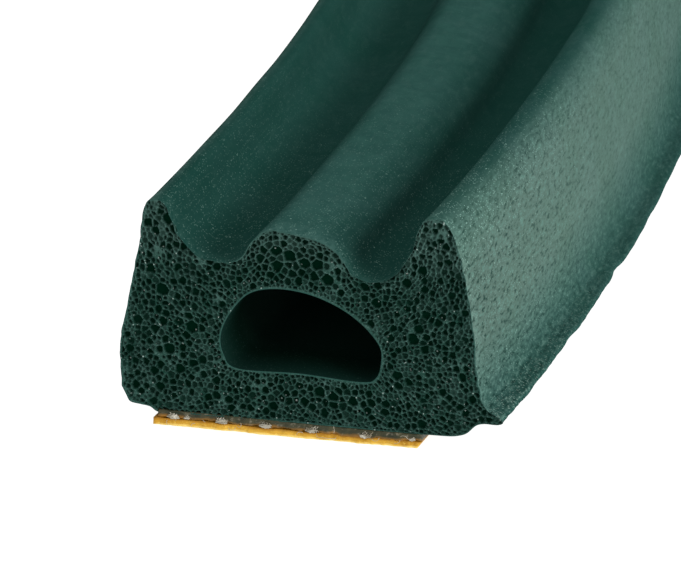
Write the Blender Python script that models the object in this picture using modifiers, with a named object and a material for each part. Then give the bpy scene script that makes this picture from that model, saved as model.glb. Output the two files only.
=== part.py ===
"""Roll of self-adhesive seal strip.

A ribbed strip of cellular rubber with an air chamber runs from a flat coil to a
free end that lies on the floor. The strip's underside carries a thin adhesive
tape, and a release liner covers the tape. In the coil the ribs face the bore,
and one flank of the strip lies on the floor, so between coil and free end the
strip turns a quarter about its heel edge.

All sizes are in metres, +Z is up, and the floor is z = 0.
"""
from math import asin, atan2, ceil, cos, degrees, floor, pi, radians, sin

import bmesh
import bpy
from mathutils import Vector

# Foam section: across is measured from its middle, up from its adhesive base
WIDTH = 0.0090
HEIGHT = 0.0054
HEEL_RADIUS = 0.0005
WIDEST_HEIGHT = 0.0012
FLANK_BULGE = 0.00008
OUTER_RIB_INSET = 0.0010
OUTER_RIB_RADIUS = 0.0003
MIDDLE_RIB_WIDTH = 0.0021
MIDDLE_RIB_SINK = 0.0006
MIDDLE_RIB_DROP = 0.0004
GROOVE_OFFSET = 0.00095
GROOVE_RADIUS = 0.00062
GROOVE_DEPTH = 0.00156

# Air chamber: flat floor, round corners, low arched roof
CHAMBER_WIDTH = 0.0040
CHAMBER_FLOOR_HEIGHT = 0.00125
CHAMBER_ROOF_HEIGHT = 0.00335
CHAMBER_CORNER_RADIUS = 0.0004
CHAMBER_SIDE_HEIGHT = 0.0006
CHAMBER_LENGTH = 0.140

# Adhesive tape and its liner, both under the foam
TAPE_LEFT_MARGIN = 0.0009
TAPE_RIGHT_MARGIN = 0.0014
LINER_THICKNESS = 0.00010
TAPE_THICKNESS = 0.00012
SKIN_GAP = 0.00006
TAPE_LANES = 4

# Route of the heel edge from the free end to the coil
FREE_END_BEND_RADIUS = 0.220
VISIBLE_BEND_LENGTH = 0.030
VISIBLE_BEND_RADIUS = 0.102
EASE_LENGTH = 0.015
LAZY_BEND_RADIUS = 1.2
JOIN_BEND_LENGTH = 0.026
TAIL_LENGTH = 0.176
TWIST_START = 0.040
TWIST_LENGTH = 0.110
HEEL_LIFT = 0.0001
STATION_SPACING = 0.003
JOIN_DIVE = 0.0016
JOIN_DIVE_LENGTH = 0.022
JOIN_OVERRUN = 0.014
WRAP_CLEARANCE = 0.0003

# Coil
TURNS = 12
BORE_RADIUS = 0.035
TURN_SLACK = 0.00011
TURN_LAND = 0.0014
TURN_STEP = 0.00025
COIL_SEGMENTS = 48

# Modelling
ROUTE_SUBSTEPS = 20
MERGE_DISTANCE = 0.000001
SHARP_ANGLE = radians(35)

# Derived sizes
HALF_WIDTH = WIDTH / 2
OUTER_RIB_ACROSS = HALF_WIDTH - OUTER_RIB_INSET
TAPE_LEFT = TAPE_LEFT_MARGIN - HALF_WIDTH
TAPE_RIGHT = HALF_WIDTH - TAPE_RIGHT_MARGIN
BACKING = LINER_THICKNESS + TAPE_THICKNESS + 2 * SKIN_GAP
TURN_PITCH = HEIGHT + BACKING + TURN_SLACK
COIL_RADIUS = BORE_RADIUS + (TURNS - 1) * TURN_PITCH + HEIGHT
HEEL_RADIUS_IN_COIL = COIL_RADIUS + BACKING
FACET_ANGLE = 2 * pi / COIL_SEGMENTS


def clear_scene():
    """Remove every object of the start-up scene."""
    for item in list(bpy.data.objects):
        bpy.data.objects.remove(item, do_unlink=True)


def new_collection(name):
    """Make a collection and link it to the scene."""
    group = bpy.data.collections.new(name)
    bpy.context.scene.collection.children.link(group)
    return group


def make_material(name, colour, roughness):
    """Principled material of one plain colour."""
    material = bpy.data.materials.new(name)
    material.use_nodes = True
    shader = material.node_tree.nodes["Principled BSDF"]
    shader.inputs["Base Color"].default_value = (*colour, 1.0)
    shader.inputs["Roughness"].default_value = roughness
    shader.inputs["Metallic"].default_value = 0.0
    material.diffuse_color = (*colour, 1.0)
    return material


def arc(centre, radius, first, last, count):
    """Points of an arc, its angles in degrees."""
    angles = [first + (last - first) * step / (count - 1) for step in range(count)]
    return [
        (centre[0] + radius * cos(radians(angle)), centre[1] + radius * sin(radians(angle)))
        for angle in angles
    ]


def mirrored(half):
    """Close a right-hand half outline, given from base to middle, with its mirror image."""
    return half + [(-across, up) for across, up in reversed(half) if across > MERGE_DISTANCE]


def flank_points():
    """Slightly bulged line from the widest point towards the outer rib."""
    foot = (HALF_WIDTH, WIDEST_HEIGHT)
    top = (OUTER_RIB_ACROSS + OUTER_RIB_RADIUS, HEIGHT - OUTER_RIB_RADIUS)
    points = []
    for part in (0.0, 1 / 3, 2 / 3):
        across = foot[0] + (top[0] - foot[0]) * part + 4 * FLANK_BULGE * part * (1 - part)
        points.append((across, foot[1] + (top[1] - foot[1]) * part))
    return points


def tape_lines():
    """Places across the tape where foam, tape and liner all have an edge, so they turn alike."""
    step = (TAPE_RIGHT - TAPE_LEFT) / TAPE_LANES
    return [TAPE_LEFT + step * lane for lane in range(TAPE_LANES + 1)]


def foam_outline():
    """Foam section: rounded heels, leaning flanks, two outer ribs, two grooves, a middle rib."""
    heel = arc((HALF_WIDTH - HEEL_RADIUS, HEEL_RADIUS), HEEL_RADIUS, -90, 0, 3)
    outer_rib = arc((OUTER_RIB_ACROSS, HEIGHT - OUTER_RIB_RADIUS), OUTER_RIB_RADIUS, 0, 180, 5)
    half_rib = MIDDLE_RIB_WIDTH / 2
    groove_centre = (half_rib + GROOVE_OFFSET, HEIGHT - GROOVE_DEPTH + GROOVE_RADIUS)
    groove = arc(groove_centre, GROOVE_RADIUS, -20, -160, 4)
    rib_radius = (half_rib ** 2 + MIDDLE_RIB_DROP ** 2) / (2 * MIDDLE_RIB_DROP)
    lean = degrees(asin(half_rib / rib_radius))
    rib_centre = (0.0, HEIGHT - MIDDLE_RIB_SINK - rib_radius)
    middle_rib = arc(rib_centre, rib_radius, 90 - lean, 90, 3)
    base = [(across, 0.0) for across in tape_lines()]
    return mirrored(heel + flank_points() + outer_rib + groove + middle_rib) + base


def chamber_outline():
    """Air chamber section: flat floor, round corners, upright sides and an elliptical roof."""
    half = CHAMBER_WIDTH / 2
    corner_centre = (half - CHAMBER_CORNER_RADIUS, CHAMBER_FLOOR_HEIGHT + CHAMBER_CORNER_RADIUS)
    corner = arc(corner_centre, CHAMBER_CORNER_RADIUS, -90, 0, 3)
    spring = CHAMBER_FLOOR_HEIGHT + CHAMBER_SIDE_HEIGHT
    roof = [
        (half * cos(radians(angle)), spring + (CHAMBER_ROOF_HEIGHT - spring) * sin(radians(angle)))
        for angle in (0, 30, 60, 90)
    ]
    return mirrored(corner + roof)


def band_outline(bottom, thickness):
    """Thin flat band as wide as the tape, its bottom at a given height above the liner's face."""
    lines = tape_lines()
    lower = [(across, bottom) for across in lines]
    upper = [(across, bottom + thickness) for across in reversed(lines)]
    return lower + upper


def bend(distance):
    """Leftward bend of the route, in radians per metre, at a distance from the free end."""
    join = TAIL_LENGTH - JOIN_BEND_LENGTH
    knots = [
        (0.0, 1 / FREE_END_BEND_RADIUS),
        (VISIBLE_BEND_LENGTH, 1 / VISIBLE_BEND_RADIUS),
        (VISIBLE_BEND_LENGTH + EASE_LENGTH, 1 / LAZY_BEND_RADIUS),
        (join, 1 / LAZY_BEND_RADIUS),
        (TAIL_LENGTH, 1 / HEEL_RADIUS_IN_COIL),
    ]
    for (near, before), (far, after) in zip(knots, knots[1:]):
        if distance <= far:
            return before + (after - before) * (distance - near) / (far - near)
    return knots[-1][1]


def twist(distance):
    """Share of the quarter turn made at a distance from the free end, from 0 to 1."""
    part = min(max((distance - TWIST_START) / TWIST_LENGTH, 0.0), 1.0)
    return part * part * (3 - 2 * part)


def tail_stations():
    """Heel edge of the tail: place, heading and quarter-turn share at even spacings."""
    count = ceil(TAIL_LENGTH / STATION_SPACING)
    step = TAIL_LENGTH / (count * ROUTE_SUBSTEPS)
    place = Vector((-HALF_WIDTH, 0.0, 0.0))
    heading = 0.0
    stations = []
    for index in range(count * ROUTE_SUBSTEPS + 1):
        distance = index * step
        if index % ROUTE_SUBSTEPS == 0:
            share = twist(distance)
            lifted = Vector((place.x, place.y, HEEL_LIFT * share))
            stations.append((distance, lifted, heading, share))
        middle = heading + bend(distance + step / 2) * step / 2
        place = place + Vector((-sin(middle), cos(middle), 0.0)) * step
        heading += bend(distance + step / 2) * step
    return stations


def coil_centre(join):
    """Middle of the coil, one heel radius to the left of the last tail station."""
    heading = join[2]
    left = Vector((-cos(heading), -sin(heading), 0.0))
    return Vector((join[1].x, join[1].y, 0.0)) + left * HEEL_RADIUS_IN_COIL


def wrap_count(tail):
    """Facets of the coil's outside that can be wrapped before the tail comes too near."""
    centre = coil_centre(tail[-1])
    reach = HEEL_RADIUS_IN_COIL + BACKING + HEIGHT + WRAP_CLEARANCE
    offsets = [(place - centre).xy for _, place, _, _ in tail]
    clear = [offset for offset in offsets if offset.length > reach]
    open_angle = tail[-1][2] - atan2(clear[-1].y, clear[-1].x)
    return floor((2 * pi - open_angle) / FACET_ANGLE)


def wrap_stations(tail):
    """Stations round the coil's outside, one at each of its facet edges after the join."""
    join = tail[-1]
    centre = coil_centre(join)
    stations = []
    for index in range(1, wrap_count(tail) + 1):
        angle = join[2] + index * FACET_ANGLE
        outward = Vector((cos(angle), sin(angle), 0.0))
        place = centre + outward * HEEL_RADIUS_IN_COIL
        place.z = HEEL_LIFT
        distance = join[0] + index * FACET_ANGLE * HEEL_RADIUS_IN_COIL
        stations.append((distance, place, angle, 1.0))
    return stations


def diving_stations(tail):
    """Tail stations that sink into the coil at the join, so that foam and coil fuse."""
    join = tail[-1]
    centre = coil_centre(join)
    stations = list(tail)
    angle = join[2] + JOIN_OVERRUN / HEEL_RADIUS_IN_COIL
    place = centre + Vector((cos(angle), sin(angle), 0.0)) * HEEL_RADIUS_IN_COIL
    place.z = HEEL_LIFT
    stations.append((join[0] + JOIN_OVERRUN, place, angle, 1.0))
    sunk = []
    start = TAIL_LENGTH + JOIN_OVERRUN - JOIN_DIVE_LENGTH
    for distance, place, heading, share in stations:
        part = max(distance - start, 0.0) / JOIN_DIVE_LENGTH
        left = Vector((-cos(heading), -sin(heading), 0.0))
        sunk.append((distance, place + left * JOIN_DIVE * part, heading, share))
    return sunk


def outline_curve(name, outline, rise):
    """Closed flat curve of a section, measured from the heel edge on the liner's face."""
    data = bpy.data.curves.new(name, "CURVE")
    data.dimensions = "2D"
    spline = data.splines.new("POLY")
    spline.points.add(len(outline) - 1)
    for point, (across, up) in zip(spline.points, outline):
        point.co = (across + HALF_WIDTH, up + rise, 0.0, 1.0)
    spline.use_cyclic_u = True
    curve = bpy.data.objects.new(name, data)
    bpy.context.scene.collection.objects.link(curve)
    return curve


def sweep(name, outline, rise, stations, group):
    """Carry a section along the stations and return the closed mesh object."""
    section = outline_curve(name + "_section", outline, rise)
    data = bpy.data.curves.new(name + "_route", "CURVE")
    data.dimensions = "3D"
    data.twist_mode = "Z_UP"
    data.bevel_mode = "OBJECT"
    data.bevel_object = section
    data.use_fill_caps = True
    spline = data.splines.new("POLY")
    spline.points.add(len(stations) - 1)
    for point, (_, place, _, share) in zip(spline.points, stations):
        point.co = (*place, 1.0)
        point.tilt = -share * pi / 2
    route = bpy.data.objects.new(name + "_route", data)
    bpy.context.scene.collection.objects.link(route)
    graph = bpy.context.evaluated_depsgraph_get()
    mesh = bpy.data.meshes.new_from_object(route.evaluated_get(graph))
    mesh.name = name
    weld(mesh)
    solid = bpy.data.objects.new(name, mesh)
    solid.matrix_world = route.matrix_world
    group.objects.link(solid)
    bpy.data.objects.remove(route, do_unlink=True)
    bpy.data.objects.remove(section, do_unlink=True)
    return solid


def weld(mesh):
    """Join the caps to the walls and turn every face outwards."""
    shape = bmesh.new()
    shape.from_mesh(mesh)
    bmesh.ops.remove_doubles(shape, verts=shape.verts, dist=MERGE_DISTANCE)
    bmesh.ops.recalc_face_normals(shape, faces=shape.faces)
    shape.to_mesh(mesh)
    shape.free()


def coil_side(side):
    """One end of the coil's profile, from outside to bore: a land and a slope for each turn."""
    crest_half = OUTER_RIB_ACROSS + OUTER_RIB_RADIUS
    points = []
    for turn in range(TURNS):
        base = COIL_RADIUS - turn * TURN_PITCH
        crest = base - TURN_PITCH + TURN_STEP if turn < TURNS - 1 else BORE_RADIUS
        points.append((base, HALF_WIDTH + side * HALF_WIDTH))
        points.append((base - TURN_LAND, HALF_WIDTH + side * HALF_WIDTH))
        points.append((crest, HALF_WIDTH + side * crest_half))
    return points


def make_coil(join, group):
    """Turned coil with an open bore and a stepped ring for each turn on both ends."""
    profile = coil_side(-1) + list(reversed(coil_side(1)))
    shape = bmesh.new()
    corners = [shape.verts.new((radius, 0.0, height)) for radius, height in profile]
    for index, corner in enumerate(corners):
        shape.edges.new((corner, corners[(index + 1) % len(corners)]))
    mesh = bpy.data.meshes.new("coil")
    shape.to_mesh(mesh)
    shape.free()
    coil = bpy.data.objects.new("coil", mesh)
    coil.location = coil_centre(join)
    coil.rotation_euler = (0.0, 0.0, join[2])
    group.objects.link(coil)
    screw = coil.modifiers.new("Turn", "SCREW")
    screw.axis = "Z"
    screw.angle = 2 * pi
    screw.steps = COIL_SEGMENTS
    screw.render_steps = COIL_SEGMENTS
    screw.use_merge_vertices = True
    screw.merge_threshold = MERGE_DISTANCE
    screw.use_normal_calculate = True
    return coil


def boolean(target, cutter, operation):
    """Add a Boolean with the exact solver to a part."""
    modifier = target.modifiers.new(operation.title(), "BOOLEAN")
    modifier.object = cutter
    modifier.operation = operation
    modifier.solver = "EXACT"
    cutter.hide_render = True
    cutter.display_type = "WIRE"


def make_foam(tail, group, tools):
    """Foam strip: the tail joined to the coil, with the air chamber open at the free end."""
    foam = sweep("foam_profile", foam_outline(), BACKING, diving_stations(tail), group)
    coil = make_coil(tail[-1], tools)
    boolean(foam, coil, "UNION")
    inside = [station for station in tail if station[0] <= CHAMBER_LENGTH]
    mouth = (-STATION_SPACING, Vector((-HALF_WIDTH, -STATION_SPACING, 0.0)), 0.0, 0.0)
    chamber = sweep("air_chamber", chamber_outline(), BACKING, [mouth] + inside, tools)
    boolean(foam, chamber, "DIFFERENCE")
    foam.data.materials.append(make_material("foam_rubber", (0.030, 0.075, 0.070), 0.72))
    return foam


def make_tape(tail, group):
    """Adhesive tape under the foam, from the free end round the coil's outside."""
    stations = tail + wrap_stations(tail)
    outline = band_outline(LINER_THICKNESS + SKIN_GAP, TAPE_THICKNESS)
    tape = sweep("adhesive_tape", outline, 0.0, stations, group)
    tape.data.materials.append(make_material("adhesive", (0.34, 0.29, 0.22), 0.35))
    return tape


def make_liner(tail, group):
    """Release liner over the tape, the strip's lowest face at the free end."""
    stations = tail + wrap_stations(tail)
    liner = sweep("release_liner", band_outline(0.0, LINER_THICKNESS), 0.0, stations, group)
    liner.data.materials.append(make_material("liner_paper", (0.82, 0.55, 0.08), 0.55))
    return liner


def shade_round(part):
    """Smooth shading with the sharp edges kept."""
    part.data.shade_smooth()
    part.data.set_sharp_from_angle(angle=SHARP_ANGLE)


def centre_on_base(parts, group):
    """Hold the parts on an empty that puts the middle of their box over the origin."""
    graph = bpy.context.evaluated_depsgraph_get()
    low = [0.0, 0.0]
    high = [0.0, 0.0]
    for part in parts:
        shape = part.evaluated_get(graph)
        for corner in shape.bound_box:
            place = shape.matrix_world @ Vector(corner)
            for axis in (0, 1):
                low[axis] = min(low[axis], place[axis])
                high[axis] = max(high[axis], place[axis])
    frame = bpy.data.objects.new("roll_frame", None)
    frame.location = (-(low[0] + high[0]) / 2, -(low[1] + high[1]) / 2, 0.0)
    group.objects.link(frame)
    return frame


def main():
    """Build the roll."""
    clear_scene()
    group = new_collection("seal_strip_roll")
    tools = new_collection("cutters")
    tail = tail_stations()
    parts = [make_foam(tail, group, tools), make_tape(tail, group), make_liner(tail, group)]
    bpy.context.view_layer.update()
    frame = centre_on_base(parts, group)
    for part in parts + list(tools.objects):
        part.parent = frame
    for part in parts:
        shade_round(part)


main()
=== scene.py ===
"""Looks of the seal strip roll.

The strip is carried along the same route as its solids: from the free end, through
the quarter turn about its heel edge, and round the coil as a true spiral. The free
end has its cut sponge cells, tape threads and liner as fine meshes. Sizes are in
millimetres until a mesh is written, and the section's frame has x across from the
middle, z up from the foam's adhesive base.
"""

import bpy
import numpy as np
from mathutils import Matrix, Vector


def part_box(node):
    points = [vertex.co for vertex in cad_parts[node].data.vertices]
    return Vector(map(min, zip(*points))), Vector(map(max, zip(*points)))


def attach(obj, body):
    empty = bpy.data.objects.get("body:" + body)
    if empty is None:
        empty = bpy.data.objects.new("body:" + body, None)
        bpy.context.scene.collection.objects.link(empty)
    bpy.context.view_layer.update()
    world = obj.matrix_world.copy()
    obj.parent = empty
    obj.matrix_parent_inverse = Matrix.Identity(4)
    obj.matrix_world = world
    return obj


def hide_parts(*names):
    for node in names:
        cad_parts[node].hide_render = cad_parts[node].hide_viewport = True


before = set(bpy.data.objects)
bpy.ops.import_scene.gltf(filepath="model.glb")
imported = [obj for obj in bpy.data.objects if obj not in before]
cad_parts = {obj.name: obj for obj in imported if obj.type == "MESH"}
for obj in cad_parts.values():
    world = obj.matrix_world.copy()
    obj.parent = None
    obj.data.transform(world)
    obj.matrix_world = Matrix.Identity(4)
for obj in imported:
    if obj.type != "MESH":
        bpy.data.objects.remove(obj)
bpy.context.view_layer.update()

MM = 0.001
BODY = "root"

# Strip and route, as in the solids
HALF_WIDTH = 4.5
BACKING = 0.34
FREE_END_BEND_RADIUS = 220.0
VISIBLE_BEND_LENGTH = 30.0
VISIBLE_BEND_RADIUS = 102.0
EASE_LENGTH = 15.0
LAZY_BEND_RADIUS = 1200.0
JOIN_BEND_LENGTH = 26.0
TAIL_LENGTH = 176.0
TWIST_START = 40.0
TWIST_LENGTH = 110.0
HEEL_LIFT = 0.1
HEEL_RADIUS_IN_COIL = 105.09
TURN_PITCH = 5.85
SPIRAL_TURNS = 11
INNER_HEEL_RADIUS = HEEL_RADIUS_IN_COIL - TURN_PITCH * SPIRAL_TURNS
INNER_LENGTH = 12.0

# How finely the pieces are cut up
FINE_LENGTH = 34.0
FINE_ROWS = 140
FINE_CROWDING = 1.6
FIRST_STEP = 0.006
ROUTE_STEPS, CURVE_STEPS = 8801, 8000
TAIL_STEP = 2.5
SPIRAL_STEP_DEGREES = 5.0
FACE_AROUND, FACE_RINGS = 960, 94
INNER_FACE_AROUND, INNER_FACE_RINGS = 300, 34
BACK_RINGS = 7
EVENING_STEPS = 2500
COARSER, COARSE_RINGS = 4, 12
SKIN_AROUND, CHAMBER_AROUND, CHAMBER_ROWS = 480, 160, 50
INNER_AROUND, INNER_CHAMBER_AROUND, INNER_ROWS = 160, 80, 30
NEAR_ACROSS, NEAR_STEPS, NEAR_ROWS = 150, 6, 46
FAR_ACROSS, FAR_STEPS = 14, 1
KNOT_AROUND, KNOT_DOWN = 40, 26

# Skin, chamber wall and cut face: thin pipes that turn back to a lip, and a sheet with a back
SKIN_THICKNESS = 0.12
WALL_THICKNESS = 0.10
TURN_BACK, TURN_BACK_ROWS = 0.5, 20
LIP_DEPTH, LIP_THICKNESS = 0.12, 0.03
ROUGH_REACH = 0.35
TORN_REACH = 5.0
FACE_DEPTH, FACE_INSET = 0.22, 0.05
MEAN_COIL_RADIUS = 70.0

# Sponge cells: bubble sizes with what three places add, shades (how deep each cell sinks and how dark
# its painted shade is), and the walls between cells
CELL_TRIES = 45000
CELL_CLOSENESS = 0.88
CELL_RADIUS, CELL_SPREAD, CELL_LIMITS = 0.070, 0.30, (0.034, 0.170)
RIB_MORE, BASE_MORE, SIDE_MORE = 0.045, 0.024, 0.007
CELL_CHANCES = (0.0, 0.12, 0.35, 0.6, 1.0)
CELL_SHADES = (0.30, 0.50, 0.75, 0.95, 1.0)
CELL_WALL, WALL_SWING, WALL_SLOPE, SOLID_EDGE = 0.005, 0.004, 0.020, 0.025
CELL_SINK, DARK_SINK = 0.03, 0.07
TILE = 0.4

# Foam section at the free end, anticlockwise from the tape's left edge seen from the front
FOAM_POINTS = (
    (-3.58, 0.02), (-3.20, 0.02), (-2.20, 0.02), (0.00, 0.02), (3.10, 0.00), (4.00, 0.06),
    (4.42, 0.36), (4.93, 0.40), (5.00, 0.52), (4.62, 0.75), (4.44, 1.30), (4.32, 2.70),
    (4.12, 4.05), (3.88, 4.98),
    (3.62, 5.37), (3.25, 5.40), (3.03, 5.18), (2.75, 4.42), (2.32, 3.88), (1.80, 3.73),
    (1.35, 3.87), (1.02, 4.33), (0.55, 4.64), (-0.15, 4.78), (-0.75, 4.81), (-1.12, 4.54),
    (-1.48, 4.04), (-2.05, 3.92), (-2.60, 4.09), (-3.02, 4.58), (-3.28, 5.22), (-3.52, 5.36),
    (-3.80, 5.20), (-3.98, 4.20), (-4.22, 2.95), (-4.45, 1.95), (-4.50, 1.15), (-4.46, 0.64),
    (-4.37, 0.40), (-4.27, 0.225), (-4.02, 0.175), (-3.77, 0.135),
)
CHAMBER_POINTS = (
    (-1.90, 1.62), (-1.55, 1.28), (0.00, 1.28), (1.50, 1.19), (1.90, 1.33), (2.03, 1.75),
    (1.98, 2.15), (1.55, 2.65), (0.95, 3.04), (0.20, 3.30), (-0.60, 3.36), (-1.25, 3.18),
    (-1.72, 2.66), (-1.96, 2.10),
)
# Places on the two outlines that face each other, as point numbers on each
FACING = ((0, 0.8), (1, 0.93), (2, 1.27), (3, 2.0), (4, 3.5), (6, 4.3), (10, 4.9), (15, 6.8),
          (19, 7.7), (23, 9.4), (27, 11.4), (31, 12.1), (35, 13.2), (38, 14.1))
WEB_TIP = (4.97, 0.46)
NICK_PLACE = 11.3
NICK_DEPTH = 0.085
NICK_SPREAD = 0.55
WEB_SPREAD = 0.22
FLANK_EDGE, FLANK_EASE = 3.45, 0.45

# Tape and liner, heights under the foam
TAPE_SPAN = (-3.58, 3.04)
LINER_SPAN = (-3.66, 2.92)
BAND_FRONT = 3.0
TAPE_TOP = 0.0
TAPE_BOTTOM = -0.17
LINER_TOP = -0.18
LINER_BOTTOM = -0.335
THREAD_PLACES = (-3.17, -2.83, -1.95, -0.86, 0.28, 1.62, 2.80)
THREAD_SIZES = (1.0, 0.5, 1.0, 1.0, 1.0, 1.15, 0.6)
NEUTRAL_HIGH = 0.42
KNOT_SIZE = (0.125, 0.065, 0.044)
KNOT_PLACE, KNOT_HEIGHT = -0.07, -0.135
CURL_HEIGHT, CURL_START, CURL_SPAN, CURL_REACH = 0.085, 1.5, 5.1, 2.5
FRONT_REACH, EDGE_REACH = 0.12, 0.3
FIBRES, FIBRE_SIZES, FIBRE_CUTS, FIBRE_BACK = 42, (0.006, 0.014), (0.05, 0.13), 1.0
FIBRE_SPREAD, FIBRE_SWING = (0.055, 0.032), (0.045, 0.022)
LOOSE_CHANCE, LOOSE_SWING = 0.08, 2.4
STRAY_SIZE, STRAY_SIDES, FIBRE_SIDES = 0.0055, 5, 6
# Sums of noise: size, seed and height of each
WEB_NOISE = ((2.6, 31, 0.02), (0.7, 32, 0.016))
RIM_NOISE = ((0.20, 25, 0.020), (0.09, 26, 0.008))
FACE_NOISE = ((0.8, 22, 0.012), (0.06, 23, 0.006))
TAPE_NOISE = ((0.22, 45, 0.04), (0.07, 48, 0.02))
LINER_NOISE = ((0.5, 43, 0.035), (0.09, 44, 0.018))
# Stray fibres: place across, height, arc radius, turn and starting angle
STRAY_FIBRES = (
    (-2.35, -0.10, 0.10, 0.8, 0.3), (-1.78, -0.20, 0.10, 2.6, 3.6), (-1.55, -0.13, 0.07, 3.0, 4.0),
    (0.42, -0.16, 0.26, 2.7, 3.3), (0.85, -0.12, 0.16, 1.3, 5.6), (-0.70, -0.12, 0.12, 2.0, 0.2),
    (0.10, -0.18, 0.08, 2.8, 0.5), (1.80, -0.17, 0.12, 2.2, 3.9), (2.35, -0.22, 0.14, 1.6, 4.4),
    (-2.60, -0.16, 0.06, 2.6, 1.0), (-3.30, -0.12, 0.07, 2.4, 2.5), (2.70, -0.10, 0.09, 2.6, 0.0),
)

# Camera at the photograph's viewing angle, in the section's frame
IMAGE_WIDTH = 681.0
SENSOR_WIDTH = 36.0
CAMERA_DISTANCE = 250.0
PIXELS_PER_MM = 41.8315
CAMERA_RIGHT = (0.958498, 0.284730, -0.014530)
CAMERA_UP = (-0.076571, 0.306185, 0.948888)
CAMERA_BACK = (0.274625, -0.908394, 0.315379)
CAMERA_SLIDE = (-0.95186, -3.13901)
CLIP = (0.01, 50.0)

# Studio, in metres, degrees and watts
FLOOR_HALF, FLOOR_GLOW, SURROUND = 3.0, 0.93, 0.90
LIGHT_TURN, LIGHT_RISE, LIGHT_AWAY = -20, 20, 0.5
LIGHT_SIZE, LIGHT_POWER = (0.30, 0.16), 1.75
PANEL_PLACE, PANEL_HEIGHT = (0.036, 0.034), 0.00005
PANEL_SIZE, PANEL_POWER = (0.060, 0.072), 0.031

# Middle of the foam's base at the free end
LOW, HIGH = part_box("foam_profile")
END = np.array([HIGH[0] / MM - HALF_WIDTH, LOW[1] / MM, BACKING])


def ease(share):
    """Share from 0 to 1 with a level start and end: three of its squares less two of its cubes."""
    return share * share * (3 - 2 * share)


def in_space(*parts):
    """Places in three coordinates: the given ones, and noughts for any that is missing."""
    parts = list(np.broadcast_arrays(*parts))
    return np.stack(parts + [np.zeros_like(parts[0])] * (3 - len(parts)), axis=-1)


def lattice(points, seed):
    """Pseudo-random value from 0 to 1 for each whole-number place: a mixed product of its parts."""
    cells = points.astype(np.int64) & 0xFFFF
    mixed = cells[..., 0] * 73856093 ^ cells[..., 1] * 19349663 ^ cells[..., 2] * 83492791
    mixed = (mixed ^ seed * 2654435761) & 0xFFFFFFFF
    mixed = ((mixed ^ (mixed >> 15)) * 2246822519) & 0xFFFFFFFF
    mixed = ((mixed ^ (mixed >> 13)) * 3266489917) & 0xFFFFFFFF
    return ((mixed ^ (mixed >> 16)) & 0xFFFFFF) / float(0xFFFFFF)


def noise(points, seed):
    """Smooth value noise from -1 to 1: lattice values blended by an eased share on each axis."""
    base = np.floor(points)
    share = ease(points - base)
    total = np.zeros(points.shape[:-1])
    for corner in range(8):
        step = np.array([corner & 1, corner >> 1 & 1, corner >> 2 & 1])
        weight = np.prod(np.where(step == 1, share, 1 - share), axis=-1)
        total += weight * lattice(base + step, seed)
    return total * 2 - 1


def roughness(points, octaves):
    """Sum of noises, each of its own size, seed and height."""
    return sum(height * noise(points / size, seed) for size, seed, height in octaves)


def lengths_along(line):
    """Length of a polyline up to each of its points."""
    return np.concatenate([[0], np.cumsum(np.linalg.norm(np.diff(line, axis=0), axis=1))])


def closed_curve(points, places):
    """Catmull-Rom curve through a ring of points, read at fractional point numbers."""
    ring = np.asarray(points, dtype=float)
    count = len(ring)
    whole = np.floor(places).astype(int)
    t = (places - whole)[:, None]
    a, b, c, d = (ring[(whole + shift) % count] for shift in (-1, 0, 1, 2))
    return 0.5 * (2 * b + (c - a) * t + (2 * a - 5 * b + 4 * c - d) * t ** 2
                  + (3 * b - a - 3 * c + d) * t ** 3)


def even_places(points, count):
    """Fractional point numbers that lie evenly along a closed curve."""
    dense = np.linspace(0, len(points), CURVE_STEPS)
    length = lengths_along(closed_curve(points, dense))
    return np.interp(np.arange(count) / count * length[-1], length, dense)


def facing_places(places):
    """Point numbers on the chamber that face those on the foam outline, straight between anchors."""
    foam, hollow = np.array(FACING, dtype=float).T
    around, inside = len(FOAM_POINTS), len(CHAMBER_POINTS)
    foam = np.concatenate([[foam[-1] - around], foam, [foam[0] + around]])
    hollow = np.concatenate([[hollow[-1] - inside], hollow, [hollow[0] + inside]])
    return np.interp(places, foam, hollow)


def bend(distance):
    """Leftward bend per millimetre along the tail: straight lines between the named radii."""
    join = TAIL_LENGTH - JOIN_BEND_LENGTH
    knots = (0.0, VISIBLE_BEND_LENGTH, VISIBLE_BEND_LENGTH + EASE_LENGTH, join, TAIL_LENGTH)
    radii = (FREE_END_BEND_RADIUS, VISIBLE_BEND_RADIUS, LAZY_BEND_RADIUS, LAZY_BEND_RADIUS,
             HEEL_RADIUS_IN_COIL)
    return np.interp(distance, knots, 1 / np.array(radii))


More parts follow.
